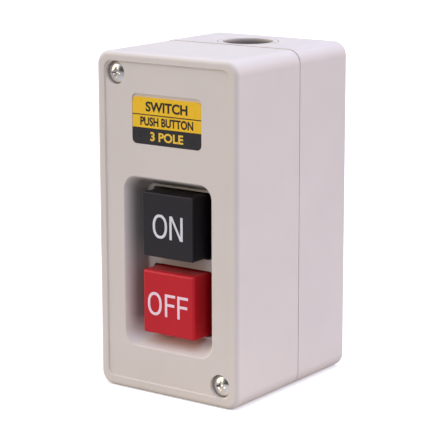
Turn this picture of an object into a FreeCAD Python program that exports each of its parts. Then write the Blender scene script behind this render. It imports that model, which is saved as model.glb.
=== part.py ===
import FreeCAD, Part
import os
import re
import Sketcher

# Push-button power switch in a moulded two-part box: three poles, a latching ON
# button and an OFF button that releases it.
#
# Frame: X right, Y towards the wall, Z up.  The origin is under the middle of
# the box.  Millimetres.

doc = FreeCAD.newDocument("push_button_switch")
sheet = doc.addObject("Spreadsheet::Sheet", "Dims")

SIZES = [
    # the box
    ("box_width", 58.8), ("box_depth", 66.4), ("box_height", 118.0),
    ("wall", 2.5), ("corner_r", 4.8), ("front_r", 1.6),
    ("seam_y", 3.45), ("seam_gap", 0.36), ("cover_drop", 0.2),
    ("lip_depth", 3.0), ("lip_thick", 1.2), ("lip_gap", 0.1),
    # the front panel, the label and the well round the buttons
    ("panel_half", 26.0), ("panel_low", 3.7), ("panel_high", 114.5),
    ("panel_sink", 0.5), ("panel_r", 2.8), ("panel_edge", 0.3),
    ("label_half", 14.4), ("label_low", 87.2), ("label_high", 103.1),
    ("label_r", 1.8), ("label_thick", 0.3), ("pocket_sink", 0.45),
    ("pocket_top_gap", 1.0),
    ("well_half", 18.5), ("well_low", 16.0), ("well_high", 75.7), ("well_r", 5.0),
    ("floor_half", 14.3), ("floor_low", 20.3), ("floor_high", 72.0), ("floor_r", 3.0),
    ("floor_y", -24.0), ("floor_thick", 2.0), ("well_wall", 1.8), ("rim_r", 0.4), ("back_r", 0.7),
    # the buttons
    ("on_width", 21.0), ("off_width", 21.8), ("cap_height", 22.2), ("cap_front", -32.4), ("cap_rear", -20.5),
    ("cap_wall", 1.8), ("cap_gap", 0.5), ("cap_hole", 24.8), ("on_z", 59.65), ("off_z", 32.5),
    ("on_edge", 0.35), ("off_edge", 0.9), ("cap_corner", 0.65),
    ("boss_r", 6.0), ("boss_rear", -24.0), ("socket", 7.0), ("socket_depth", 4.6),
    ("stem", 8.5), ("tip_gap", 0.05),
    # the long cover screws
    ("screw_x", 21.7), ("screw_high", 110.5), ("screw_low", 7.5),
    ("bore_r", 4.05), ("seat_y", -29.8), ("post_r", 4.4), ("hole_r", 2.15),
    ("head_r", 3.5), ("head_h", 2.6), ("head_dome", 1.1), ("shank_r", 2.0),
    ("cover_screw_end", 10.2), ("insert_r", 2.9), ("insert_len", 8.0),
    # the conduit holes and the wall fixing
    ("conduit_y", 14.9), ("conduit_r", 9.0), ("ring_r", 10.9), ("ring_wide", 0.35),
    ("ring_deep", 0.5), ("fix_low", 11.0), ("fix_high", 107.0), ("fix_r", 2.5),
    # the contact block
    ("block_half", 24.0), ("block_front", 24.0), ("block_rear", 28.0),
    ("block_low", 16.0), ("block_high", 102.0), ("pole_pitch", 15.0),
    ("side_wall", 1.6), ("partition", 1.6), ("joint_y", 8.0),
    ("bar_width", 8.0), ("bar_thick", 1.5),
    ("contact_r", 2.5), ("contact_thick", 1.5), ("contact_reach", 9.5),
    ("line_low", 66.5), ("line_high", 98.0), ("load_low", 20.0), ("load_high", 53.0),
    ("terminal_high", 93.0), ("terminal_low", 25.0), ("clamp_thick", 1.2),
    ("block_screw_x", 7.5), ("block_screw_high", 99.0), ("block_screw_low", 18.8),
    # the mechanism frame
    ("plate_front", -14.0), ("plate_rear", -11.5), ("frame_low", 20.0), ("frame_high", 74.0),
    ("sleeve", 12.5), ("sleeve_on", -5.2), ("sleeve_off", -6.2), ("guide_gap", 0.1),
    ("frame_screw_x", 7.5), ("frame_screw_high", 70.0), ("frame_screw_low", 24.7),
    # the contact carrier
    ("carrier_half", 21.5), ("carrier_front", -5.0), ("carrier_rear", 15.2),
    ("carrier_height", 10.0), ("slot_width", 7.0), ("slot_front", 1.0), ("slot_rear", 13.25),
    ("bridge_width", 6.0), ("bridge_thick", 1.5), ("bridge_front", 11.7), ("bridge_reach", 12.0),
    ("moving_thick", 1.7),
    # the latch
    ("latch_y", 8.0), ("latch_z", 48.5), ("latch_pin_r", 1.25), ("latch_half", 4.0),
    ("latch_hub_r", 2.6), ("latch_pin_half", 8.3),
]
value = {}
for row, (alias, number) in enumerate(SIZES, 1):
    sheet.set("A%d" % row, alias)
    sheet.set("B%d" % row, str(number))
    sheet.setAlias("B%d" % row, alias)
    value[alias] = number
doc.recompute()


def expr(words):
    """An expression on the sheet, from one written with bare aliases."""
    return re.sub(r"[a-z_]{3,}", lambda m: "Dims." + m.group(0), str(words))


def num(words):
    """The same expression's value now, for fillet and helix sizes and for edge picking."""
    out = str(words)
    for alias in sorted(value, key=len, reverse=True):
        out = re.sub(r"\b%s\b" % alias, "(%r)" % value[alias], out)
    total = sheet_number(out)
    return total


def sheet_number(text):
    """The value of plain arithmetic, worked out by the sheet itself."""
    sheet.set("D1", "=" + text)
    sheet.recompute()
    return float(sheet.get("D1"))


def bind(obj, **paths):
    for path, words in paths.items():
        obj.setExpression(path.replace("__", "."), expr(words))


def box(name, x0, x1, y0, y1, z0, z1):
    b = doc.addObject("Part::Box", name)
    bind(b, Length="(%s) - (%s)" % (x1, x0), Width="(%s) - (%s)" % (y1, y0),
         Height="(%s) - (%s)" % (z1, z0), Placement__Base__x=x0,
         Placement__Base__y=y0, Placement__Base__z=z0)
    return b


TURN = {
    "Y": FreeCAD.Rotation(FreeCAD.Vector(1, 0, 0), -90),
    "X": FreeCAD.Rotation(FreeCAD.Vector(0, 1, 0), 90),
    "Z": FreeCAD.Rotation(),
}


def rod(name, r, x, y, z, axis, length):
    """A cylinder that starts at x, y, z and runs along +axis."""
    c = doc.addObject("Part::Cylinder", name)
    c.Placement = FreeCAD.Placement(FreeCAD.Vector(), TURN[axis])
    bind(c, Radius=r, Height=length, Placement__Base__x=x, Placement__Base__y=y,
         Placement__Base__z=z)
    return c


def cone(name, r0, r1, x, y, z, axis, length):
    c = doc.addObject("Part::Cone", name)
    c.Placement = FreeCAD.Placement(FreeCAD.Vector(), TURN[axis])
    bind(c, Radius1=r0, Radius2=r1, Height=length, Placement__Base__x=x,
         Placement__Base__y=y, Placement__Base__z=z)
    return c


def ball(name, r, x, y, z):
    s = doc.addObject("Part::Sphere", name)
    s.Placement = FreeCAD.Placement(FreeCAD.Vector(), TURN["Y"])
    bind(s, Radius=r, Placement__Base__x=x, Placement__Base__y=y, Placement__Base__z=z)
    return s


def fuse(name, things):
    f = doc.addObject("Part::MultiFuse", name)
    f.Shapes = things
    f.Refine = True
    return f


def common(name, things):
    f = doc.addObject("Part::MultiCommon", name)
    f.Shapes = things
    return f


def cut(name, base, things):
    tool = things[0] if len(things) == 1 else fuse(name + "_tools", things)
    c = doc.addObject("Part::Cut", name)
    c.Base = base
    c.Tool = tool
    c.Refine = True
    return c


def group(name, things):
    g = doc.addObject("Part::Compound", name)
    g.Links = things
    return g


def fillet(name, base, alias, chosen):
    """Round the edges of base for which chosen(edge) is true."""
    doc.recompute()
    r = num(alias)
    picked = [(i, r, r) for i, e in enumerate(base.Shape.Edges, 1) if chosen(e)]
    f = doc.addObject("Part::Fillet", name)
    f.Base = base
    f.Edges = picked
    return f


def along(axis):
    """True for straight edges along the axis."""
    def chosen(e):
        if e.Curve.TypeId != "Part::GeomLine":
            return False
        a, b = e.Vertexes[0].Point, e.Vertexes[-1].Point
        d = [abs(b.x - a.x), abs(b.y - a.y), abs(b.z - a.z)]
        return d[axis] > 1e-6 and sum(d) - d[axis] < 1e-6
    return chosen


def at_y(y, tol=1e-4):
    """True for edges that lie wholly at one Y."""
    def chosen(e):
        b = e.BoundBox
        return abs(b.YMin - y) < tol and abs(b.YMax - y) < tol
    return chosen


V = FreeCAD.Vector


def rounded_sketch(body, name, x, y, z, width, height, r):
    """A rounded rectangle that faces -Y, with its centre at x, y, z."""
    s = body.newObject("Sketcher::SketchObject", name)
    plane = [o for o in body.Origin.OriginFeatures if o.Role == "XZ_Plane"][0]
    s.AttachmentSupport = [(plane, "")]
    s.MapMode = "FlatFace"
    s.setExpression("AttachmentOffset.Base.x", expr(x))
    s.setExpression("AttachmentOffset.Base.y", expr(z))
    s.setExpression("AttachmentOffset.Base.z", expr("-(%s)" % y))
    w, h, q = num(width) / 2, num(height) / 2, num(r)
    line = lambda a, b, c, d: s.addGeometry(Part.LineSegment(V(a, b, 0), V(c, d, 0)), False)
    line(-w + q, -h, w - q, -h)
    line(w, -h + q, w, h - q)
    line(w - q, h, -w + q, h)
    line(-w, h - q, -w, -h + q)
    quarter = 1.5707963267948966
    for k, (cx, cy) in enumerate(((w - q, -h + q), (w - q, h - q), (-w + q, h - q), (-w + q, -h + q))):
        s.addGeometry(Part.ArcOfCircle(Part.Circle(V(cx, cy, 0), V(0, 0, 1), q),
                                       (k - 1) * quarter, k * quarter), False)
    C = Sketcher.Constraint
    for k in range(4):
        s.addConstraint(C("Tangent", k, 2, 4 + k, 1))
        s.addConstraint(C("Tangent", 4 + k, 2, (k + 1) % 4, 1))
    s.addConstraint(C("Horizontal", 0))
    s.addConstraint(C("Vertical", 1))
    s.addConstraint(C("Horizontal", 2))
    s.addConstraint(C("Vertical", 3))
    for k in range(3):
        s.addConstraint(C("Equal", 4, 5 + k))
    k = s.addConstraint(C("Radius", 4, q))
    s.setExpression("Constraints[%d]" % k, expr(r))
    for kind, a, b, size, words in (
        ("DistanceX", (3, 1), (-1, 1), w, width), ("DistanceX", (-1, 1), (1, 1), w, width),
        ("DistanceY", (0, 1), (-1, 1), h, height), ("DistanceY", (-1, 1), (2, 1), h, height),
    ):
        k = s.addConstraint(C(kind, a[0], a[1], b[0], b[1], size))
        s.setExpression("Constraints[%d]" % k, expr("(%s) / 2" % words))
    return s


def slab(name, x, z, width, height, r, y0, y1):
    """A rounded block from y0 to y1, as a body: sketch and pad."""
    body = doc.addObject("PartDesign::Body", name)
    s = rounded_sketch(body, name + "_outline", x, y1, z, width, height, r)
    pad = body.newObject("PartDesign::Pad", name + "_pad")
    pad.Profile = s
    pad.setExpression("Length", expr("(%s) - (%s)" % (y1, y0)))
    body.Tip = pad
    return body


def funnel(name, x, y0, z0, w0, h0, r0, y1, z1, w1, h1, r1):
    """A block that tapers from one rounded rectangle to another."""
    body = doc.addObject("PartDesign::Body", name)
    a = rounded_sketch(body, name + "_mouth", x, y0, z0, w0, h0, r0)
    b = rounded_sketch(body, name + "_foot", x, y1, z1, w1, h1, r1)
    loft = body.newObject("PartDesign::AdditiveLoft", name + "_loft")
    loft.Profile = a
    loft.Sections = [b]
    loft.Ruled = True
    body.Tip = loft
    return body


def plate_sketch(name, plane_role, points):
    """A body with a closed outline on one of its origin planes."""
    body = doc.addObject("PartDesign::Body", name)
    s = body.newObject("Sketcher::SketchObject", name + "_outline")
    plane = [o for o in body.Origin.OriginFeatures if o.Role == plane_role][0]
    s.AttachmentSupport = [(plane, "")]
    s.MapMode = "FlatFace"
    pts = [(num(a), num(b)) for a, b in points]
    n = len(pts)
    for k in range(n):
        a, b = pts[k], pts[(k + 1) % n]
        s.addGeometry(Part.LineSegment(V(a[0], a[1], 0), V(b[0], b[1], 0)), False)
    for k in range(n):
        s.addConstraint(Sketcher.Constraint("Coincident", k, 2, (k + 1) % n, 1))
    for k, (wa, wb) in enumerate(points):
        for kind, words, size in (("DistanceX", wa, pts[k][0]), ("DistanceY", wb, pts[k][1])):
            if abs(size) < 1e-9:
                s.addConstraint(Sketcher.Constraint("PointOnObject", k, 1, -2 if kind == "DistanceX" else -1))
                continue
            if size > 0:
                i = s.addConstraint(Sketcher.Constraint(kind, -1, 1, k, 1, size))
                s.setExpression("Constraints[%d]" % i, expr(words))
            else:
                i = s.addConstraint(Sketcher.Constraint(kind, k, 1, -1, 1, -size))
                s.setExpression("Constraints[%d]" % i, expr("-(%s)" % words))
    return body, s


def coil(name, r, wire, start, end, turns, axis, x, y, z):
    """A helical spring whose wire centre runs from start to end along the axis."""
    helix = doc.addObject("Part::Helix", name + "_line")
    length = end - start
    helix.Pitch = length / turns
    helix.Height = length
    bind(helix, Radius=r)
    ring = doc.addObject("Part::Circle", name + "_wire")
    bind(ring, Radius=wire)
    ring.Placement = FreeCAD.Placement(V(num(r), 0, 0), FreeCAD.Rotation(V(1, 0, 0), 90))
    sweep = doc.addObject("Part::Sweep", name + "_sweep")
    sweep.Sections = [ring]
    doc.recompute()
    sweep.Spine = (helix, [])
    sweep.Solid = True
    sweep.Frenet = True
    base = {"Y": V(num(x), start, num(z)), "X": V(start, num(y), num(z))}[axis]
    sweep.Placement = FreeCAD.Placement(base, TURN[axis])
    return sweep


def pan_screw(name, x, z, top, r, h, dome, shank, end):
    """A cross-recessed pan-head screw along +Y: head from top to top + h, shank to end."""
    # the ball whose cap is dome high over a chord of 2 r
    ball_r = "((%s) * (%s) + (%s) * (%s)) / (2 * (%s))" % (r, r, dome, dome, dome)
    head = common(name + "_head", [
        ball(name + "_dome", ball_r, x, "(%s) + %s" % (top, ball_r), z),
        rod(name + "_rim", r, x, top, z, "Y", h),
    ])
    stem = rod(name + "_shank", shank, x, "(%s) + (%s) - 0.2" % (top, h), z, "Y",
               "(%s) - (%s) - (%s) + 0.2 - 0.5" % (end, top, h))
    point = cone(name + "_point", shank, "(%s) - 0.5" % shank, x, "(%s) - 0.5" % end, z, "Y", "0.5")
    whole = fuse(name + "_whole", [head, stem, point])
    wing = "(%s) * 0.52" % r
    thin = "(%s) * 0.13" % r
    sink = "(%s) * 0.62" % h
    slots = [
        box(name + "_slot_h", "(%s) - %s" % (x, wing), "(%s) + %s" % (x, wing),
            "(%s) - 1" % top, "(%s) + %s" % (top, sink), "(%s) - %s" % (z, thin), "(%s) + %s" % (z, thin)),
        box(name + "_slot_v", "(%s) - %s" % (x, thin), "(%s) + %s" % (x, thin),
            "(%s) - 1" % top, "(%s) + %s" % (top, sink), "(%s) - %s" % (z, wing), "(%s) + %s" % (z, wing)),
        cone(name + "_slot_c", "(%s) * 0.4" % r, "(%s) * 0.12" % r, x, "(%s) - 0.02" % top, z, "Y", sink),
    ]
    return cut(name, whole, slots)


half = "box_width / 2"
front = "-box_depth / 2"
rear = "box_depth / 2"
cover_rear = "seam_y - seam_gap / 2"
base_front = "seam_y + seam_gap / 2"
cover_top = "box_height - cover_drop"
panel_y = "-box_depth / 2 + panel_sink"
POSTS = (("high", "-screw_x", "screw_high"), ("low", "screw_x", "screw_low"))
nodes = {}

# ---------------------------------------------------------------- front cover
outer = slab("cover_outer", "0", "(box_height - cover_drop) / 2", "box_width",
             cover_top, "corner_r", front, cover_rear)
outer = fillet("cover_rounded", outer, "front_r", at_y(num(front)))
panel = slab("panel_sunk", "0", "(panel_low + panel_high) / 2", "2 * panel_half",
             "panel_high - panel_low", "panel_r", "-box_depth / 2 - 1", panel_y)


def panel_mouth(e):
    b = e.BoundBox
    return (abs(b.YMin - num(front)) < 1e-4 and abs(b.YMax - num(front)) < 1e-4
            and b.XMin > -num("panel_half") - 0.01 and b.XMax < num("panel_half") + 0.01
            and b.ZMin > num("panel_low") - 0.01 and b.ZMax < num("panel_high") + 0.01)


outer = fillet("cover_panel", cut("cover_sunk", outer, [panel]), "panel_edge", panel_mouth)
cavity = slab("cover_cavity", "0", "(box_height - cover_drop) / 2", "box_width - 2 * wall",
              "box_height - cover_drop - 2 * wall", "corner_r - wall",
              "-box_depth / 2 + wall", "seam_y + 1")
shell = cut("cover_shell", outer, [cavity])
# the sunk side walls of the well
sleeve_outer = funnel("well_outer", "0", "-box_depth / 2 + wall - 0.4", "(well_low + well_high) / 2",
                      "2 * well_half + 2 * well_wall", "well_high - well_low + 2 * well_wall",
                      "well_r + well_wall",
                      "floor_y + floor_thick", "(floor_low + floor_high) / 2",
                      "2 * floor_half + 2 * well_wall", "floor_high - floor_low + 2 * well_wall",
                      "floor_r + well_wall")
posts = [rod("cover_post_" + n, "post_r", x, "seat_y - 2", z, "Y", "0.3 - (seat_y - 2)")
         for n, x, z in POSTS]
collars = [rod("cover_collar_" + n, "bore_r + 1.3", x, "-box_depth / 2 + 1.5", z, "Y",
               "(seat_y + 2) - (-box_depth / 2 + 1.5)") for n, x, z in POSTS]
# the collars and posts are kept inside the box's outline
inside = slab("cover_inside", "0", "(box_height - cover_drop) / 2", "box_width - 1",
              "box_height - cover_drop - 1", "corner_r - 0.5", "-box_depth / 2 + 0.6", "seam_y - 3.4")
kept = common("cover_post_trim", [fuse("cover_posts", posts + collars), inside])
solid = fuse("cover_solid", [shell, sleeve_outer, kept])
well = funnel("well_inner", "0", "-box_depth / 2 + panel_sink", "(well_low + well_high) / 2",
              "2 * well_half", "well_high - well_low", "well_r",
              "floor_y", "(floor_low + floor_high) / 2",
              "2 * floor_half", "floor_high - floor_low", "floor_r")
mouth = slab("well_mouth", "0", "(well_low + well_high) / 2", "2 * well_half",
             "well_high - well_low", "well_r", "-box_depth / 2 - 1", "-box_depth / 2 + panel_sink")
pocket = slab("label_pocket", "0", "(label_low + label_high + pocket_top_gap) / 2",
              "2 * label_half + 0.2", "label_high - label_low + pocket_top_gap + 0.2", "label_r",
              "-box_depth / 2 - 1", "-box_depth / 2 + panel_sink + pocket_sink")
openings = [slab("cap_hole_" + n, "0", z, "cap_hole", "cap_height + 2 * cap_gap",
                 "cap_corner + cap_gap", "floor_y - 1", "floor_y + floor_thick + 1")
            for n, z in (("on", "on_z"), ("off", "off_z"))]
bores = [rod("cover_bore_" + n, "bore_r", x, "-box_depth / 2 - 1", z, "Y", "seat_y + box_depth / 2 + 1")
         for n, x, z in POSTS]
holes = [rod("cover_hole_" + n, "hole_r", x, "seat_y - 1", z, "Y", "6 - seat_y") for n, x, z in POSTS]
rebate = slab("cover_rebate", "0", "(box_height - cover_drop) / 2",
              "box_width - 2 * wall + 2 * lip_thick + 2 * lip_gap",
              "box_height - cover_drop - 2 * wall + 2 * lip_thick + 2 * lip_gap",
              "corner_r - wall + lip_thick + lip_gap", "seam_y - seam_gap / 2 - lip_depth", "seam_y + 1")
cover = cut("cover_cut", solid, [well, mouth, pocket, rebate] + openings + bores + holes)


def well_rim(e):
    b = e.BoundBox
    y = num(panel_y)
    return (abs(b.YMin - y) < 1e-4 and abs(b.YMax - y) < 1e-4
            and b.XMin > -num("well_half") - 0.01 and b.XMax < num("well_half") + 0.01
            and b.ZMin > num("well_low") - 0.01 and b.ZMax < num("well_high") + 0.01)


nodes["front_cover"] = fillet("front_cover", cover, "rim_r", well_rim)

# ----------------------------------------------------------------- rear base
outer = slab("base_outer", "0", "box_height / 2", "box_width", "box_height", "corner_r",
             base_front, rear)
outer = fillet("base_rounded", outer, "back_r", at_y(num(rear)))
lip = slab("base_lip", "0", "(box_height - cover_drop) / 2", "box_width - 2 * wall + 2 * lip_thick",
           "box_height - cover_drop - 2 * wall + 2 * lip_thick", "corner_r - wall + lip_thick",
           "seam_y + seam_gap / 2 - lip_depth", "seam_y + seam_gap / 2 + 1")
cavity = slab("base_cavity", "0", "(box_height - cover_drop) / 2", "box_width - 2 * wall",
              "box_height - cover_drop - 2 * wall", "corner_r - wall",
              "seam_y - lip_depth - 2", "box_depth / 2 - wall")
inside = slab("base_inside", "0", "box_height / 2", "box_width - 1", "box_height - 1", "corner_r - 0.5",
              "0.7", "box_depth / 2 - 1")
posts = [rod("base_post_" + n, "post_r", x, "0.7", z, "Y", "box_depth / 2 - wall + 0.3") for n, x, z in POSTS]
kept = common("base_post_trim", [fuse("base_posts", posts), inside])
pads = [rod("base_pad_%s_%s" % (a, b), "3.6", "%sblock_screw_x" % s, "block_rear", z, "Y",
            "box_depth / 2 - wall + 0.4 - block_rear")
        for a, s in (("left", "-"), ("right", "")) for b, z in (("low", "block_screw_low"), ("high", "block_screw_high"))]
earth_post = rod("earth_post", "3.6", "-18", "27", "9.5", "Y", "box_depth / 2 - wall + 0.4 - 27")
shell = cut("base_shell", fuse("base_blank", [outer, lip]), [cavity])
solid = fuse("base_solid", [shell, kept, earth_post] + pads)
drills = [rod("base_bore_" + n, "insert_r", x, "0", z, "Y", "1.2 + insert_len") for n, x, z in POSTS]
drills += [rod("base_deep_" + n, "hole_r", x, "0", z, "Y", "12.5") for n, x, z in POSTS]
drills += [rod("base_pilot_%s_%s" % (a, b), "1.55", "%sblock_screw_x" % s, "block_rear - 1", z, "Y", "5")
           for a, s in (("left", "-"), ("right", "")) for b, z in (("low", "block_screw_low"), ("high", "block_screw_high"))]
drills += [rod("earth_pilot", "2.05", "-18", "26", "9.5", "Y", "5.2")]
drills += [rod("fix_hole_" + n, "fix_r", "0", "box_depth / 2 - wall - 2", z, "Y", "wall + 4")
           for n, z in (("low", "fix_low"), ("high", "fix_high"))]
drills += [rod("conduit_" + n, "conduit_r", "0", "conduit_y", z, "Z", "wall + 3")
           for n, z in (("low", "-1"), ("high", "box_height - wall - 2"))]
for n, z in (("low", "-1"), ("high", "box_height - ring_deep")):
    drills.append(cut("ring_" + n, rod("ring_out_" + n, "ring_r", "0", "conduit_y", z, "Z", "1 + ring_deep"),
                      [rod("ring_in_" + n, "ring_r - ring_wide", "0", "conduit_y", "(%s) - 1" % z, "Z",
                           "3 + ring_deep")]))
    # the tab that joins the ring to the wall, and the notch opposite the pry point
    drills.append(rod("pry_" + n, "0.7", "ring_r + 0.15", "conduit_y", z, "Z", "1 + ring_deep"))
base = cut("base_cut", solid, drills)
nodes["rear_base"] = base
base.Label = "rear_base"

# --------------------------------------------------------- screws and inserts
nodes["cover_screws"] = group("cover_screws", [
    pan_screw("cover_screw_" + n, x, z, "seat_y - head_h", "head_r", "head_h", "head_dome",
              "shank_r", "cover_screw_end") for n, x, z in POSTS])
nodes["cover_screw_inserts"] = group("cover_screw_inserts", [
    cut("insert_" + n, rod("insert_body_" + n, "insert_r - 0.04", x, "1.2", z, "Y", "insert_len - 0.05"),
        [rod("insert_hole_" + n, "shank_r + 0.05", x, "0", z, "Y", "insert_len + 4")])
    for n, x, z in POSTS])

# --------------------------------------------------------------------- label
label = slab("rating_label", "0", "(label_low + label_high) / 2", "2 * label_half",
             "label_high - label_low", "label_r",
             "-box_depth / 2 + panel_sink + pocket_sink - label_thick - 0.02",
             "-box_depth / 2 + panel_sink + pocket_sink - 0.02")
nodes["rating_label"] = label

# ------------------------------------------------------------- contact block
slabs = [
    box("block_plate", "-block_half", "block_half", "block_front", "block_rear", "block_low", "block_high"),
    box("block_side_left", "-block_half", "-block_half + side_wall", "joint_y", "block_front + 0.5", "20", "98"),
    box("block_side_right", "block_half - side_wall", "block_half", "joint_y", "block_front + 0.5", "20", "98"),
]
for s, n in (("-", "left"), ("", "right")):
    x0 = "%sblock_screw_x - partition / 2" % s
    x1 = "%sblock_screw_x + partition / 2" % s
    slabs.append(box("block_wall_low_" + n, x0, x1, "10", "block_front + 0.5", "22.4", "on_z - 6.25"))
    slabs.append(box("block_wall_mid_" + n, x0, x1, "21.6", "block_front + 0.5", "on_z - 7", "on_z + 7"))
    slabs.append(box("block_wall_top_" + n, x0, x1, "10", "block_front + 0.5", "on_z + 6.25", "95.6"))
    slabs.append(box("block_ear_" + n, x0, x1, "4", "11", "latch_z - 4.5", "latch_z + 4"))
bosses = [rod("block_boss_high", "3", "-frame_screw_x", "joint_y", "frame_screw_high", "Y", "block_front - joint_y + 0.5"),
          rod("block_boss_low", "3", "frame_screw_x", "joint_y", "frame_screw_low", "Y", "block_front - joint_y + 0.5")]
drills = [rod("block_hole_%s_%s" % (a, b), "1.65", "%sblock_screw_x" % s, "block_front - 3", z, "Y", "8")
          for a, s in (("left", "-"), ("right", "")) for b, z in (("low", "block_screw_low"), ("high", "block_screw_high"))]
drills += [rod("block_tap_high", "1.55", "-frame_screw_x", "joint_y - 1", "frame_screw_high", "Y", "9"),
           rod("block_tap_low", "1.55", "frame_screw_x", "joint_y - 1", "frame_screw_low", "Y", "9"),
           rod("block_pin_hole", "latch_pin_r + 0.05", "-12", "latch_y", "latch_z", "X", "24")]
for x, n in (("-pole_pitch", "one"), ("0", "two"), ("pole_pitch", "three")):
    for z, m in (("terminal_high", "line"), ("terminal_low", "load")):
        drills.append(rod("block_tap_%s_%s" % (m, n), "2.05", x, "block_front - 1", z, "Y", "4.6"))
nodes["contact_block"] = cut("contact_block", fuse("block_blank", slabs + bosses), drills)

# --------------------------------------------- terminals and fixed contacts
POLES = (("one", "-pole_pitch"), ("two", "0"), ("three", "pole_pitch"))
bar_front = "block_front - bar_thick"


def bars(node, low, high, tap):
    made = []
    for n, x in POLES:
        bar = slab("%s_bar_%s" % (node, n), x, "((%s) + (%s)) / 2" % (low, high), "bar_width",
                   "(%s) - (%s)" % (high, low), "0.8", bar_front, "block_front")
        made.append(cut("%s_%s" % (node, n), bar, [
            rod("%s_hole_%s" % (node, n), "2.05", x, "block_front - 4", tap, "Y", "6")]))
    return group(node, made)


nodes["line_terminals"] = bars("line_terminals", "line_low", "line_high", "terminal_high")
nodes["load_terminals"] = bars("load_terminals", "load_low", "load_high", "terminal_low")
nodes["fixed_contacts"] = group("fixed_contacts", [
    rod("fixed_%s_%s" % (m, n), "contact_r", x, "block_front - bar_thick - contact_thick", z, "Y", "contact_thick")
    for n, x in POLES for m, z in (("line", "on_z + contact_reach"), ("load", "on_z - contact_reach"))])
clamp_front = "block_front - bar_thick - clamp_thick"
nodes["terminal_clamps"] = group("terminal_clamps", [
    cut("clamp_%s_%s" % (m, n),
        slab("clamp_plate_%s_%s" % (m, n), x, z, "bar_width", "8", "0.6", clamp_front, bar_front),
        [rod("clamp_hole_%s_%s" % (m, n), "2.1", x, "block_front - 6", z, "Y", "6")])
    for n, x in POLES for m, z in (("line", "terminal_high"), ("load", "terminal_low"))])
nodes["terminal_screws"] = group("terminal_screws", [
    pan_screw("terminal_screw_%s_%s" % (m, n), x, z, "block_front - bar_thick - clamp_thick - 2.6",
              "3.6", "2.6", "1.0", "2.0", "block_front + 3.2")
    for n, x in POLES for m, z in (("line", "terminal_high"), ("load", "terminal_low"))])
nodes["block_screws"] = group("block_screws", [
    pan_screw("block_screw_%s_%s" % (a, b), "%sblock_screw_x" % s, z, "block_front - 2.2",
              "2.75", "2.2", "0.8", "1.5", "block_rear + 3.6")
    for a, s in (("left", "-"), ("right", "")) for b, z in (("low", "block_screw_low"), ("high", "block_screw_high"))])

# ------------------------------------------------------------ earth terminal
nodes["earth_plate"] = cut("earth_plate",
                           slab("earth_strip", "-18", "9.5", "12", "8", "0.8", "25.8", "27"),
                           [rod("earth_hole", "2.1", "-18", "25", "9.5", "Y", "3")])
nodes["earth_screw"] = pan_screw("earth_screw", "-18", "9.5", "25.8 - 2.6", "3.6", "2.6", "1.0", "2.0", "30.6")

# ----------------------------------------------------------- mechanism frame
slabs = [
    box("frame_plate", "-block_half", "block_half", "plate_front", "plate_rear", "frame_low", "frame_high"),
    box("frame_side_left", "-block_half", "-block_half + side_wall", "plate_rear - 1", "joint_y - 0.05", "frame_low", "frame_high"),
    box("frame_side_right", "block_half - side_wall", "block_half", "plate_rear - 1", "joint_y - 0.05", "frame_low", "frame_high"),
    box("frame_end_low", "-block_half", "block_half", "plate_rear - 1", "3", "frame_low", "frame_low + side_wall"),
    box("frame_end_high", "-block_half", "block_half", "plate_rear - 1", "3", "frame_high - side_wall", "frame_high"),
    box("frame_sleeve_on", "-sleeve / 2", "sleeve / 2", "plate_rear - 1", "sleeve_on", "on_z - sleeve / 2", "on_z + sleeve / 2"),
    box("frame_sleeve_off", "-sleeve / 2", "sleeve / 2", "plate_rear - 1", "sleeve_off", "off_z - sleeve / 2", "off_z + sleeve / 2"),
]
frame_bosses = (("high", "-frame_screw_x", "frame_screw_high"), ("low", "frame_screw_x", "frame_screw_low"))
slabs += [rod("frame_boss_" + n, "3", x, "plate_rear - 1", z, "Y", "joint_y - 0.05 - plate_rear + 1") for n, x, z in frame_bosses]
slabs += [rod("frame_collar_" + n, "3.5", x, "plate_rear - 1", z, "Y", "2.6") for n, x, z in frame_bosses]
drills = [
    box("frame_guide_on", "-stem / 2 - guide_gap", "stem / 2 + guide_gap", "plate_front - 1", "0",
        "on_z - stem / 2 - guide_gap", "on_z + stem / 2 + guide_gap"),
    box("frame_guide_off", "-stem / 2 - guide_gap", "stem / 2 + guide_gap", "plate_front - 1", "0",
        "off_z - stem / 2 - guide_gap", "off_z + stem / 2 + guide_gap"),
]
drills += [rod("frame_drill_" + n, "1.65", x, "plate_front - 1", z, "Y", "joint_y - plate_front + 2") for n, x, z in frame_bosses]
drills += [rod("frame_sink_" + n, "2.85", x, "plate_front - 1", z, "Y", "1 + 2.3") for n, x, z in frame_bosses]
nodes["mechanism_frame"] = cut("mechanism_frame", fuse("frame_blank", slabs), drills)
nodes["frame_screws"] = group("frame_screws", [
    pan_screw("frame_screw_" + n, x, z, "plate_front + 0.1", "2.7", "2.2", "0.8", "1.5", "14.6")
    for n, x, z in frame_bosses])


# --------------------------------------------------------- buttons and stems
def cap(node, z, width, edge):
    blank = slab(node + "_blank", "0", z, width, "cap_height", "cap_corner", "cap_front", "cap_rear")
    soft = fillet(node + "_soft", blank, edge, at_y(num("cap_front")))
    hollow = slab(node + "_hollow", "0", z, width + " - 2 * cap_wall", "cap_height - 2 * cap_wall", "0.6",
                  "cap_front + cap_wall", "cap_rear + 1")
    boss = rod(node + "_boss", "boss_r", "0", "cap_front + cap_wall - 0.3", z, "Y", "boss_rear - cap_front - cap_wall + 0.3")
    socket = box(node + "_socket", "-socket / 2", "socket / 2", "boss_rear - socket_depth", "boss_rear + 1",
                 "(%s) - socket / 2" % z, "(%s) + socket / 2" % z)
    return cut(node, fuse(node + "_body", [cut(node + "_shell", soft, [hollow]), boss]), [socket])


nodes["on_button"] = cap("on_button", "on_z", "on_width", "on_edge")
nodes["off_button"] = cap("off_button", "off_z", "off_width", "off_edge")


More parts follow.
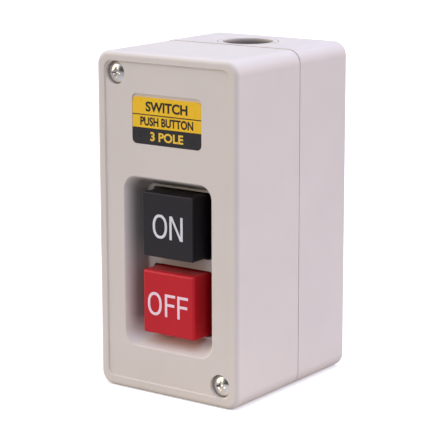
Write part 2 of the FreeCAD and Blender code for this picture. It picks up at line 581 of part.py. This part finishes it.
def stem(node, z, end):
    return [
        box(node + "_tip", "-socket / 2 + tip_gap", "socket / 2 - tip_gap", "boss_rear - socket_depth + 0.1",
            "boss_rear + 1", "(%s) - socket / 2 + tip_gap" % z, "(%s) + socket / 2 - tip_gap" % z),
        box(node + "_stem", "-stem / 2", "stem / 2", "boss_rear", end, "(%s) - stem / 2" % z, "(%s) + stem / 2" % z),
    ]


pin_y = "carrier_front + 2"
nodes["on_plunger"] = cut("on_plunger", fuse("on_plunger_blank", stem("on_plunger", "on_z", "carrier_front + 3.95")),
                          [rod("on_plunger_hole", "1.05", "-10", pin_y, "on_z", "X", "20")])
nodes["carrier_pin"] = rod("carrier_pin", "1.0", "-9.6", pin_y, "on_z", "X", "19.2")
nose = fuse("off_nose", [
    box("off_nose_block", "-3.5", "3.5", "-5", "-2.65", "33.5", "36.5"),
    rod("off_nose_round", "1.5", "-3.5", "-2.65", "35", "X", "7"),
])
nodes["off_plunger"] = fuse("off_plunger", stem("off_plunger", "off_z", "sleeve_off + 0.3") + [
    box("off_collar", "-5.3", "5.3", "sleeve_off + 0.2", "-4", "off_z - 5.3", "off_z + 5.3"), nose])

# ----------------------------------------------------------- contact carrier
blank = slab("carrier_blank", "0", "on_z", "2 * carrier_half", "carrier_height", "0.8", "carrier_front", "carrier_rear")
drills = [box("carrier_socket", "-stem / 2 - tip_gap", "stem / 2 + tip_gap", "carrier_front - 1", "carrier_front + 4",
              "on_z - stem / 2 - tip_gap", "on_z + stem / 2 + tip_gap"),
          rod("carrier_pin_hole", "1.02", "-9.7", pin_y, "on_z", "X", "19.4")]
for n, x in POLES:
    drills.append(box("carrier_slot_" + n, "(%s) - slot_width / 2" % x, "(%s) + slot_width / 2" % x,
                      "slot_front", "slot_rear", "on_z - 6", "on_z + 6"))
    # the end wall behind each slot is open in the middle, for the contacts' arc space
    drills.append(box("carrier_relief_" + n, "(%s) - slot_width / 2" % x, "(%s) + slot_width / 2" % x,
                      "slot_rear - 0.1", "carrier_rear + 1", "on_z + 2", "on_z + 6"))
    drills.append(box("carrier_relief_low_" + n, "(%s) - slot_width / 2" % x, "(%s) + slot_width / 2" % x,
                      "slot_rear - 0.1", "carrier_rear + 1", "on_z - 6", "on_z - 2"))
# lightening pockets in the front, either side of the stem
for s, n in (("-", "left"), ("", "right")):
    drills.append(box("carrier_light_" + n, "%s15.5 - 3.6" % s, "%s15.5 + 3.6" % s, "carrier_front - 1", "carrier_front + 4",
                      "on_z - 3.4", "on_z + 3.4"))
nodes["contact_carrier"] = cut("contact_carrier", blank, drills)
nodes["moving_bridges"] = group("moving_bridges", [
    slab("bridge_" + n, x, "on_z", "bridge_width", "2 * bridge_reach", "1.0", "bridge_front", "bridge_front + bridge_thick")
    for n, x in POLES])
nodes["moving_contacts"] = group("moving_contacts", [
    rod("moving_%s_%s" % (m, n), "contact_r", x, "bridge_front + bridge_thick", z, "Y", "moving_thick")
    for n, x in POLES for m, z in (("line", "on_z + contact_reach"), ("load", "on_z - contact_reach"))])
nodes["contact_springs"] = group("contact_springs", [
    coil("contact_spring_" + n, "2.0", "0.35", num("slot_front") + 0.37, num("bridge_front") - 0.37, 6, "Y", x, "0", "on_z")
    for n, x in POLES])

# -------------------------------------------------------------------- latch
# Outline in the YZ plane: the hook at the top, the arm the OFF stem pushes below.
body, outline = plate_sketch("latch_outline", "YZ_Plane", [
    ("-1.0", "31.0"), ("1.6", "31.0"), ("3.6", "41.5"), ("latch_y + 1.2", "latch_z - 2.4"),
    ("latch_y + 1.2", "latch_z + 2.2"), ("3.4", "latch_z + 2.6"), ("0.8", "latch_z + 3.4"),
    ("0.8", "54.5"), ("-0.2", "54.5"), ("-1.5", "53.2"), ("-1.5", "latch_z - 3.5"), ("-1.0", "latch_z - 7.5"),
])
pad = body.newObject("PartDesign::Pad", "latch_pad")
pad.Profile = outline
pad.setExpression("Length", expr("2 * latch_half"))
pad.Midplane = True
body.Tip = pad
nodes["latch_lever"] = cut("latch_lever", fuse("latch_blank", [
    body, rod("latch_hub", "latch_hub_r", "-latch_half", "latch_y", "latch_z", "X", "2 * latch_half")]),
    [rod("latch_hub_hole", "latch_pin_r + 0.05", "-6", "latch_y", "latch_z", "X", "12")])
nodes["latch_pin"] = rod("latch_pin", "latch_pin_r", "-latch_pin_half", "latch_y", "latch_z", "X", "2 * latch_pin_half")

# ------------------------------------------------------------------- springs
nodes["on_return_spring"] = coil("on_return_spring", "6.75", "0.5", num("cap_front + cap_wall") + 0.55,
                                 num("plate_front") - 0.55, 6, "Y", "0", "0", "on_z")
nodes["off_return_spring"] = coil("off_return_spring", "6.75", "0.5", num("cap_front + cap_wall") + 0.55,
                                  num("plate_front") - 0.55, 6.5, "Y", "0", "0", "off_z")
nodes["latch_spring"] = coil("latch_spring", "2.0", "0.4", num("latch_half") + 0.5,
                             num("block_screw_x - partition / 2") - 0.5, 1.25, "X", "0", "latch_y", "latch_z")

doc.recompute()
for name, obj in nodes.items():
    obj.Label = name
bad = [o.Label for o in doc.Objects if "Invalid" in o.State or "Error" in o.State]
if bad:
    raise RuntimeError("not built: " + ", ".join(bad))
for name, obj in nodes.items():
    if obj.Shape.isNull() or not obj.Shape.isValid():
        raise RuntimeError("bad shape: " + name)
    if not obj.Shape.Solids:
        raise RuntimeError("no solid: " + name)

os.makedirs("parts", exist_ok=True)
for name, obj in nodes.items():
    obj.Shape.exportStep("parts/%s.step" % name)
    b = obj.Shape.BoundBox
    print("%-20s %2d solids %9.1f mm3  x %7.2f %7.2f  y %7.2f %7.2f  z %7.2f %7.2f" % (
        name, len(obj.Shape.Solids), obj.Shape.Volume, b.XMin, b.XMax, b.YMin, b.YMax, b.ZMin, b.ZMax))
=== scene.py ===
import bpy, bmesh, math
from mathutils import Vector, Matrix, Euler


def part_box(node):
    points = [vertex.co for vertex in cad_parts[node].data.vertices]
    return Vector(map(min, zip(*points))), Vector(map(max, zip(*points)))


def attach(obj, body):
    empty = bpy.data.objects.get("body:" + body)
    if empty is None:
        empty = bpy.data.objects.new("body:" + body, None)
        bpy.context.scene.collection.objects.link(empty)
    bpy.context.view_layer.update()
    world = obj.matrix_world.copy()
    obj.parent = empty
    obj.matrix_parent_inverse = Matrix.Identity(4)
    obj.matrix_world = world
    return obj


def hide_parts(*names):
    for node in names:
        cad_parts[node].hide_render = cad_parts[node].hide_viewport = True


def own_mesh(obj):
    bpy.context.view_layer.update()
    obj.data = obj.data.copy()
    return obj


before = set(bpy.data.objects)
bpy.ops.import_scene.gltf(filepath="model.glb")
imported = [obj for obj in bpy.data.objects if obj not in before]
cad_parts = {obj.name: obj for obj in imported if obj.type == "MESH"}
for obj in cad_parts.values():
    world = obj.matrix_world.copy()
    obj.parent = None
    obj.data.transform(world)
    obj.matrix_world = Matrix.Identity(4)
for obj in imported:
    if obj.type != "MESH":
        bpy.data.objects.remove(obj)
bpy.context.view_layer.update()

MM = 0.001


# ------------------------------------------------------------------ materials
def srgb(r, g, b):
    def f(c):
        c /= 255.0
        return c / 12.92 if c <= 0.04045 else ((c + 0.055) / 1.055) ** 2.4
    return (f(r), f(g), f(b), 1.0)


class Mat:
    """A Principled material with a few short helpers for its nodes."""

    def __init__(self, name, rough=0.5, metal=0.0, spec=0.5, coat=0.0, coat_rough=0.1):
        self.m = bpy.data.materials.new(name)
        self.m.use_nodes = True
        self.t = self.m.node_tree
        self.b = self.t.nodes["Principled BSDF"]
        self.b.inputs["Roughness"].default_value = rough
        self.b.inputs["Metallic"].default_value = metal
        self.b.inputs["Specular IOR Level"].default_value = spec
        self.b.inputs["Coat Weight"].default_value = coat
        self.b.inputs["Coat Roughness"].default_value = coat_rough
        self.co = self.t.nodes.new("ShaderNodeTexCoord").outputs["Object"]
        self.h = None

    def node(self, kind, **sets):
        n = self.t.nodes.new(kind)
        for k, v in sets.items():
            setattr(n, k, v)
        return n

    def link(self, a, b):
        self.t.links.new(a, b)

    def noise(self, scale, detail=3.0, rough=0.5, stretch=(1, 1, 1)):
        mp = self.node("ShaderNodeMapping")
        mp.inputs["Scale"].default_value = stretch
        self.link(self.co, mp.inputs["Vector"])
        n = self.node("ShaderNodeTexNoise")
        n.inputs["Scale"].default_value = scale
        n.inputs["Detail"].default_value = detail
        n.inputs["Roughness"].default_value = rough
        self.link(mp.outputs["Vector"], n.inputs["Vector"])
        return n.outputs["Fac"]

    def ramp(self, fac, stops, mode="LINEAR"):
        r = self.node("ShaderNodeValToRGB")
        r.color_ramp.interpolation = mode
        e = r.color_ramp.elements
        e[0].position, e[0].color = stops[0]
        e[1].position, e[1].color = stops[1]
        for p, c in stops[2:]:
            k = e.new(p)
            k.color = c
        self.link(fac, r.inputs["Fac"])
        return r.outputs["Color"]

    def span(self, fac, lo, hi, a=0.0, b=1.0):
        r = self.node("ShaderNodeMapRange")
        for k, v in zip(("From Min", "From Max", "To Min", "To Max"), (lo, hi, a, b)):
            r.inputs[k].default_value = v
        self.link(fac, r.inputs["Value"])
        return r.outputs["Result"]

    def mix(self, fac, a, b, blend="MIX"):
        x = self.node("ShaderNodeMix", data_type="RGBA", blend_type=blend)
        for sock, v in ((x.inputs[0], fac), (x.inputs[6], a), (x.inputs[7], b)):
            if hasattr(v, "links"):
                self.link(v, sock)
            else:
                sock.default_value = v
        return x.outputs[2]

    def color(self, out):
        self.link(out, self.b.inputs["Base Color"])
        return self

    def rough(self, out):
        self.link(out, self.b.inputs["Roughness"])
        return self

    def bump(self, out, strength, distance):
        n = self.node("ShaderNodeBump")
        n.inputs["Strength"].default_value = strength
        n.inputs["Distance"].default_value = distance
        self.link(out, n.inputs["Height"])
        if self.h is not None:
            self.link(self.h, n.inputs["Normal"])
        self.h = n.outputs["Normal"]
        self.link(self.h, self.b.inputs["Normal"])
        return self


def hollow(m, half, low, high, top, floor, least, shade_ease_depth=None):
    """A colour multiplier that paints shade into a hollow: it falls to `least` down the walls, where shade falls,
    is 1 outside it, and lifts again past the last depth given (mm).
    """
    sep = m.node("ShaderNodeSeparateXYZ")
    m.link(m.co, sep.inputs["Vector"])
    wide = m.node("ShaderNodeMath", operation="ABSOLUTE")
    m.link(sep.outputs["X"], wide.inputs[0])
    parts = [m.span(wide.outputs[0], half * MM, (half + 1) * MM, 1.0, 0.0),
             m.span(sep.outputs["Z"], (low - 8) * MM, low * MM),
             m.span(sep.outputs["Z"], high * MM, (high + 1) * MM, 1.0, 0.0),
             m.span(sep.outputs["Y"], top * MM, floor * MM)]
    if shade_ease_depth is not None:
        parts.append(m.span(sep.outputs["Y"], shade_ease_depth * MM, (shade_ease_depth + 0.6) * MM, 1.0, 0.3))
    out = parts[0]
    for k in parts[1:]:
        t = m.node("ShaderNodeMath", operation="MULTIPLY")
        m.link(out, t.inputs[0])
        m.link(k, t.inputs[1])
        out = t.outputs[0]
    return m.span(out, 0.0, 1.0, 1.0, least)


def plastic(name, rgb, rough=0.5, spec=0.5, vary=0.03, grain=0.5, grain_scale=2600, coat=0.0, well=None):
    """Moulded plastic: faint flow mottling, a fine eroded-tool grain, shine that varies."""
    m = Mat(name, rough, spec=spec, coat=coat)
    c = srgb(*rgb)
    lo = tuple(x * (1 - vary) for x in c[:3]) + (1,)
    hi = tuple(min(1, x * (1 + vary)) for x in c[:3]) + (1,)
    tint = m.ramp(m.noise(38, 3.0, 0.55), [(0.32, lo), (0.68, hi)])
    if well:
        # painted shade: the colour darkens down the walls of the well round the buttons and inside the base, where
        # shade falls
        k = hollow(m, *well)
        painted_shade = m.node("ShaderNodeCombineColor")
        for n in ("Red", "Green", "Blue"):
            m.link(k, painted_shade.inputs[n])
        tint = m.mix(1.0, tint, painted_shade.outputs[0], "MULTIPLY")
    m.color(tint)
    m.rough(m.span(m.noise(160, 4.0, 0.6), 0.3, 0.7, rough - 0.05, rough + 0.06))
    m.bump(m.noise(grain_scale, 2.0, 0.6), grain, 0.00002)
    m.bump(m.noise(60, 2.0), 0.06, 0.0004)
    return m.m


def metal(name, rgb, rough=0.3, brushed=(1, 1, 1), scale=900, vary=0.12, tarnish=None):
    m = Mat(name, rough, 1.0)
    c = srgb(*rgb)
    lo = tuple(x * (1 - vary) for x in c[:3]) + (1,)
    hi = tuple(min(1, x * (1 + vary)) for x in c[:3]) + (1,)
    base = m.ramp(m.noise(scale * 0.35, 4.0, 0.6, brushed), [(0.3, lo), (0.7, hi)])
    if tarnish:
        t = srgb(*tarnish)
        base = m.mix(m.span(m.noise(220, 4.0, 0.65), 0.52, 0.72, 0.0, 0.55), base, t)
    m.color(base)
    m.rough(m.span(m.noise(scale, 4.0, 0.6, brushed), 0.3, 0.7, max(0.05, rough - 0.08), rough + 0.1))
    m.bump(m.noise(scale * 3, 2.0, 0.5, brushed), 0.25, 0.00002)
    return m.m


# the well settings paint shade into the case colour: darker down the well round the buttons and inside the base
CASE = plastic("case_plastic", (227, 218, 206), rough=0.50, spec=0.42, vary=0.018, grain=0.55,
               well=(20, 26, 82, -32.4, -28.2, 0.36, -24.8))
CASE_REAR = plastic("case_plastic_rear", (227, 218, 207), rough=0.50, spec=0.42, vary=0.018, grain=0.55,
                    well=(26.0, 4, 116.8, 31.6, 30.8, 0.34))
BLACK = plastic("on_plastic", (25, 23, 28), rough=0.42, spec=0.4, vary=0.06, grain=0.5, grain_scale=2200)
RED = plastic("off_plastic", (202, 8, 28), rough=0.38, spec=0.4, vary=0.04, grain=0.35, grain_scale=2200)
PHENOLIC = plastic("phenolic_block", (44, 33, 28), rough=0.36, spec=0.5, vary=0.16, grain=0.5, grain_scale=1500)
FRAME_PLASTIC = plastic("mechanism_plastic", (214, 208, 192), rough=0.45, vary=0.04)
ACETAL = plastic("stem_acetal", (232, 230, 220), rough=0.34, vary=0.03, grain=0.3)
NICKEL = metal("screw_nickel", (240, 238, 232), rough=0.15, scale=1200, vary=0.07)
BRASS = metal("terminal_brass", (214, 176, 96), rough=0.28, brushed=(6, 1, 1), tarnish=(140, 92, 48))
INSERT = metal("insert_brass", (206, 166, 88), rough=0.30, brushed=(1, 8, 1))
ZINC = metal("zinc_plate", (200, 201, 198), rough=0.30, vary=0.10, tarnish=(168, 164, 140))
SILVER = metal("contact_silver", (232, 230, 224), rough=0.26, vary=0.06, tarnish=(150, 144, 134))
SPRING = metal("spring_wire", (176, 178, 180), rough=0.24, brushed=(1, 1, 6), vary=0.10)


def label_material():
    """Printed film: two yellow rows, a thin rule, and a black row."""
    lo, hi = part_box("rating_label")
    z0, z1 = lo[2], hi[2]
    m = Mat("label_film", 0.30, spec=0.5, coat=0.25, coat_rough=0.12)
    sep = m.node("ShaderNodeSeparateXYZ")
    m.link(m.co, sep.inputs["Vector"])
    at = lambda mm: (mm * MM - z0) / (z1 - z0)
    up = m.span(sep.outputs["Z"], z0, z1)
    ink, gold, amber = srgb(28, 27, 31), srgb(255, 206, 14), srgb(246, 172, 12)
    rows = m.ramp(up, [(0.0, ink), (at(92.75), gold), (at(97.0), srgb(52, 26, 10)), (at(97.38), gold)], "CONSTANT")
    # the print is a little warmer and uneven towards one end
    warm = m.ramp(m.noise(70, 2.0), [(0.35, (1, 1, 1, 1)), (0.7, (0.99, 0.90, 0.72, 1))])
    m.color(m.mix(0.6, rows, warm, "MULTIPLY"))
    m.rough(m.span(m.noise(500, 3.0), 0.3, 0.7, 0.26, 0.36))
    m.bump(m.noise(1400, 2.0), 0.10, 0.00001)
    return m.m


LABEL = label_material()
INK = plastic("label_ink", (24, 15, 10), rough=0.35, vary=0.05, grain=0.15)
GOLD_INK = plastic("label_gold_ink", (252, 206, 60), rough=0.35, vary=0.04, grain=0.15)
PAINT_GREY = plastic("paint_grey", (228, 229, 230), rough=0.45, vary=0.05, grain=0.3)
PAINT_PINK = plastic("paint_white", (255, 226, 232), rough=0.42, vary=0.03, grain=0.3)

USE = {
    "front_cover": CASE, "rear_base": CASE_REAR, "rating_label": LABEL, "cover_screws": NICKEL,
    "cover_screw_inserts": INSERT, "contact_block": PHENOLIC, "line_terminals": BRASS,
    "load_terminals": BRASS, "fixed_contacts": SILVER, "terminal_clamps": ZINC,
    "terminal_screws": ZINC, "block_screws": ZINC, "earth_plate": BRASS, "earth_screw": ZINC,
    "mechanism_frame": FRAME_PLASTIC, "frame_screws": ZINC, "on_button": BLACK, "off_button": RED,
    "on_plunger": ACETAL, "carrier_pin": ZINC, "off_plunger": ACETAL, "contact_carrier": PHENOLIC,
    "moving_bridges": BRASS, "moving_contacts": SILVER, "contact_springs": SPRING,
    "latch_lever": ZINC, "latch_pin": ZINC, "on_return_spring": SPRING,
    "off_return_spring": SPRING, "latch_spring": SPRING,
}
for node, mat in USE.items():
    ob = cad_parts[node]
    if not ob.material_slots:
        ob.data.materials.append(mat)
    for slot in ob.material_slots:
        slot.material = mat


# ---------------------------------------------------- the springs under the caps
# each coil is copied into an object of its own on the root body, in spring wire, and the part it came from is
# hidden
for node, joint, travel in (("on_return_spring", "on_press", 6.0), ("off_return_spring", "off_press", 5.0)):
    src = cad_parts[node]
    me = src.data.copy()
    me.name = node + "_coil"
    me.transform(src.matrix_world)
    coil = bpy.data.objects.new(node + "_coil", me)
    bpy.context.scene.collection.objects.link(coil)
    me.materials.clear()
    me.materials.append(SPRING)
    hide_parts(node)
    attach(coil, "root")
    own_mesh(coil)


# ------------------------------------------------------------------ lettering
def solid_from_outlines(name, outlines, y, thick, mat, bevel=0.00005):
    """Flat letters, each outline in XZ, filled and raised towards -Y from y."""
    bm = bmesh.new()
    for faces in outlines:
        for ring in faces:
            vs = [bm.verts.new((x, y, z)) for x, z in ring]
            bm.faces.new(vs)
    bmesh.ops.remove_doubles(bm, verts=bm.verts, dist=1e-7)
    bmesh.ops.recalc_face_normals(bm, faces=bm.faces)
    got = bmesh.ops.extrude_face_region(bm, geom=list(bm.faces))
    bmesh.ops.translate(bm, verts=[v for v in got["geom"] if isinstance(v, bmesh.types.BMVert)], vec=(0, -thick, 0))
    bmesh.ops.recalc_face_normals(bm, faces=bm.faces)
    me = bpy.data.meshes.new(name)
    bm.to_mesh(me)
    bm.free()
    ob = bpy.data.objects.new(name, me)
    bpy.context.scene.collection.objects.link(ob)
    ob.data.materials.append(mat)
    if bevel:
        b = ob.modifiers.new("edge", "BEVEL")
        b.width = bevel
        b.segments = 2
        b.limit_method = "ANGLE"
        b.angle_limit = math.radians(40)
    return ob


def letter_o(cx, cz, w, h, s, n=56, power=2.25):
    """A ring of quads between two near-ellipses."""
    def pt(a, rw, rh):
        c, d = math.cos(a), math.sin(a)
        return (cx + rw * math.copysign(abs(c) ** (2 / power), c),
                cz + rh * math.copysign(abs(d) ** (2 / power), d))
    out = []
    for k in range(n):
        a, b = 2 * math.pi * k / n, 2 * math.pi * (k + 1) / n
        out.append([pt(a, w / 2, h / 2), pt(b, w / 2, h / 2),
                    pt(b, w / 2 - s, h / 2 - s), pt(a, w / 2 - s, h / 2 - s)])
    return out


def letter_n(x0, z0, w, h, s):
    d = s * 1.18
    return [[(x0, z0), (x0 + s, z0), (x0 + s, z0 + h - 1.55 * s), (x0 + d, z0 + h), (x0, z0 + h)],
            [(x0 + d, z0 + h), (x0 + s, z0 + h - 1.55 * s), (x0 + w - d, z0), (x0 + w - s, z0 + 1.55 * s)],
            [(x0 + w - d, z0), (x0 + w, z0), (x0 + w, z0 + h), (x0 + w - s, z0 + h), (x0 + w - s, z0 + 1.55 * s)]]


def letter_f(x0, z0, w, h, s):
    m = z0 + 0.47 * h
    return [[(x0, z0), (x0 + s, z0), (x0 + s, m), (x0 + s, m + s), (x0 + s, z0 + h - s), (x0 + s, z0 + h), (x0, z0 + h)],
            [(x0 + s, m), (x0 + 0.92 * w, m), (x0 + 0.92 * w, m + s), (x0 + s, m + s)],
            [(x0 + s, z0 + h - s), (x0 + w, z0 + h - s), (x0 + w, z0 + h), (x0 + s, z0 + h)]]


on_lo, on_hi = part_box("on_button")
off_lo, off_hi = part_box("off_button")
zc = (on_lo[2] + on_hi[2]) / 2 - 0.25 * MM
H, S = 8.2 * MM, 0.98 * MM
left = -6.35 * MM
on_word = solid_from_outlines("on_word", [
    letter_o(left + 3.05 * MM, zc, 6.1 * MM, H + 0.15 * MM, S),
    letter_n(left + 7.1 * MM, zc - H / 2, 5.6 * MM, H, S)], on_lo[1] + 0.02 * MM, 0.11 * MM, PAINT_GREY)
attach(on_word, "on_slider")
zc = (off_lo[2] + off_hi[2]) / 2 - 0.4 * MM
H = 8.0 * MM
left = -8.2 * MM
off_word = solid_from_outlines("off_word", [
    letter_o(left + 2.4 * MM, zc, 5.95 * MM, H + 0.15 * MM, S),
    letter_f(left + 6.75 * MM, zc - H / 2, 4.4 * MM, H, S),
    letter_f(left + 12.05 * MM, zc - H / 2, 4.55 * MM, H, S)], off_lo[1] + 0.02 * MM, 0.11 * MM, PAINT_PINK)
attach(off_word, "off_slider")

lab_lo, lab_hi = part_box("rating_label")


def printed(name, words, size, cx, cz, mat, squeeze=0.86, weight=0.03):
    """A printed line on the label, centred at cx, cz (mm)."""
    cu = bpy.data.curves.new(name + "_line", "FONT")
    cu.body = words
    cu.size = size * MM
    cu.offset = weight * size * MM
    cu.extrude = 0.008 * MM
    cu.align_x = "CENTER"
    cu.align_y = "CENTER"
    cu.resolution_u = 6
    tmp = bpy.data.objects.new(name + "_line", cu)
    bpy.context.scene.collection.objects.link(tmp)
    bpy.context.view_layer.update()
    me = bpy.data.meshes.new_from_object(tmp.evaluated_get(bpy.context.evaluated_depsgraph_get()))
    bpy.data.objects.remove(tmp)
    xs = [v.co.x for v in me.vertices]
    ys = [v.co.y for v in me.vertices]
    mx, my = (min(xs) + max(xs)) / 2, (min(ys) + max(ys)) / 2
    for v in me.vertices:
        x, y, z = v.co
        v.co = ((x - mx) * squeeze + cx * MM, lab_lo[1] - 0.006 * MM - z, y - my + cz * MM)
    me.flip_normals()
    me.name = name
    ob = bpy.data.objects.new(name, me)
    bpy.context.scene.collection.objects.link(ob)
    me.materials.clear()
    me.materials.append(mat)
    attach(ob, "root")
    return ob


printed("label_line_top", "SWITCH", 4.5, 0.0, 100.05, INK, 1.04, 0.035)
printed("label_line_middle", "PUSH BUTTON", 3.9, 0.0, 95.0, INK, 0.85, 0.035)
printed("label_line_low", "3 POLE", 4.1, 0.0, 90.0, GOLD_INK, 1.1, 0.03)

# ---------------------------------------------------------------- surroundings
floor_me = bpy.data.meshes.new("floor")
R = 6.0
floor_me.from_pydata([(-R, -R, 0), (R, -R, 0), (R, R, 0), (-R, R, 0)], [], [(0, 1, 2, 3)])
floor_ob = bpy.data.objects.new("floor", floor_me)
bpy.context.scene.collection.objects.link(floor_ob)
fm = Mat("floor_white", 0.6, spec=0.2)
fm.color(fm.ramp(fm.noise(3, 2.0), [(0.3, (0.93, 0.93, 0.93, 1)), (0.7, (0.95, 0.95, 0.95, 1))]))
fm.b.inputs["Emission Color"].default_value = (1, 1, 1, 1)
fm.b.inputs["Emission Strength"].default_value = 0.35
# to the object the paper is a softer bounce than it looks, strongest close by
bounce = fm.node("ShaderNodeBsdfDiffuse")
far = fm.node("ShaderNodeVectorMath", operation="LENGTH")
fm.link(fm.co, far.inputs[0])
fm.link(fm.ramp(fm.span(far.outputs["Value"], 0.05, 0.34), [(0.0, (0.60, 0.57, 0.535, 1)), (1.0, (0.34, 0.325, 0.305, 1))]),
        bounce.inputs["Color"])
pickf = fm.node("ShaderNodeMixShader")
fm.link(fm.node("ShaderNodeLightPath").outputs["Is Camera Ray"], pickf.inputs["Fac"])
fm.link(bounce.outputs[0], pickf.inputs[1])
fm.link(fm.b.outputs[0], pickf.inputs[2])
fm.link(pickf.outputs[0], fm.t.nodes["Material Output"].inputs["Surface"])
floor_me.materials.append(fm.m)

LIGHT = (
    ((0, 0, 1), -3.0, -2.0, (0.09, 0.088, 0.082)),
    ((0.1, 0.1, 1), 0.25, 0.95, (1.04, 1.16, 1.64)),
    ((1.0, 0.35, 0.15), 0.40, 0.95, (1.15, 1.0, 1.06)),
    ((-0.88, -0.50, 0.15), 0.62, 0.97, (2.30, 2.05, 1.70)),
)
world = bpy.data.worlds.new("studio") if not bpy.context.scene.world else bpy.context.scene.world
bpy.context.scene.world = world
world.use_nodes = True
wt = world.node_tree
for n in list(wt.nodes):
    wt.nodes.remove(n)
# soft boxes: overhead, right and a little behind, left and in front; dim by the camera
way = wt.nodes.new("ShaderNodeTexCoord").outputs["Generated"]


def lobe(towards, lo, hi, rgb):
    """Light from round one direction: nothing at cosine lo, rgb from cosine hi."""
    d = wt.nodes.new("ShaderNodeVectorMath")
    d.operation = "DOT_PRODUCT"
    wt.links.new(way, d.inputs[0])
    d.inputs[1].default_value = Vector(towards).normalized()
    r = wt.nodes.new("ShaderNodeMapRange")
    r.interpolation_type = "SMOOTHSTEP"
    r.inputs["From Min"].default_value, r.inputs["From Max"].default_value = lo, hi
    wt.links.new(d.outputs["Value"], r.inputs["Value"])
    v = wt.nodes.new("ShaderNodeVectorMath")
    v.operation = "SCALE"
    v.inputs[0].default_value = rgb
    wt.links.new(r.outputs["Result"], v.inputs["Scale"])
    return v.outputs["Vector"]


def total(parts):
    out = parts[0]
    for p in parts[1:]:
        v = wt.nodes.new("ShaderNodeVectorMath")
        v.operation = "ADD"
        wt.links.new(out, v.inputs[0])
        wt.links.new(p, v.inputs[1])
        out = v.outputs["Vector"]
    return out


light = total([lobe(*l) for l in LIGHT])
lit = wt.nodes.new("ShaderNodeBackground")
wt.links.new(light, lit.inputs["Color"])
plain = wt.nodes.new("ShaderNodeBackground")
plain.inputs["Color"].default_value = (1.0, 1.0, 1.0, 1)
plain.inputs["Strength"].default_value = 1.02
pick = wt.nodes.new("ShaderNodeMixShader")
wt.links.new(wt.nodes.new("ShaderNodeLightPath").outputs["Is Camera Ray"], pick.inputs["Fac"])
wt.links.new(lit.outputs[0], pick.inputs[1])
wt.links.new(plain.outputs[0], pick.inputs[2])
wo = wt.nodes.new("ShaderNodeOutputWorld")
wt.links.new(pick.outputs[0], wo.inputs["Surface"])


def area(name, where, look, size, power, color=(1, 1, 1)):
    d = bpy.data.lights.new(name, "AREA")
    d.shape = "RECTANGLE"
    d.size, d.size_y = size
    d.energy = power
    d.color = color
    o = bpy.data.objects.new(name, d)
    o.location = where
    o.rotation_euler = (Vector(look) - Vector(where)).to_track_quat("-Z", "Y").to_euler()
    bpy.context.scene.collection.objects.link(o)
    return o


area("key_top", (0.10, -0.25, 0.80), (0, 0, 0.06), (0.5, 0.5), 0.6, (0.97, 0.98, 1.0))
area("key_front", (-0.45, -0.90, 0.45), (0, 0, 0.06), (0.5, 0.5), 0.05, (1.0, 0.98, 0.95))

# --------------------------------------------------------------------- camera
az, el, roll = math.radians(35.94), math.radians(12.06), math.radians(-0.17)
back = Vector((math.sin(az) * math.cos(el), -math.cos(az) * math.cos(el), math.sin(el)))
fwd = -back
right = fwd.cross(Vector((0, 0, 1))).normalized()
up = right.cross(fwd)
r2 = math.cos(roll) * right + math.sin(roll) * up
u2 = -math.sin(roll) * right + math.cos(roll) * up
where = Vector((0, 0, 59)) - fwd * 633.45 - r2 * 3.05 - u2 * 0.82
cam_data = bpy.data.cameras.new("camera")
cam_data.sensor_fit = "HORIZONTAL"
cam_data.sensor_width = 36.0
cam_data.lens = 1802.26 / 430.0 * 36.0
cam_data.clip_start, cam_data.clip_end = 0.01, 50.0
cam = bpy.data.objects.new("camera", cam_data)
cam.matrix_world = Matrix((
    (r2.x, u2.x, back.x, where.x * MM),
    (r2.y, u2.y, back.y, where.y * MM),
    (r2.z, u2.z, back.z, where.z * MM),
    (0, 0, 0, 1)))
bpy.context.scene.collection.objects.link(cam)
bpy.context.scene.camera = cam
bpy.context.scene.view_settings.view_transform = "Standard"
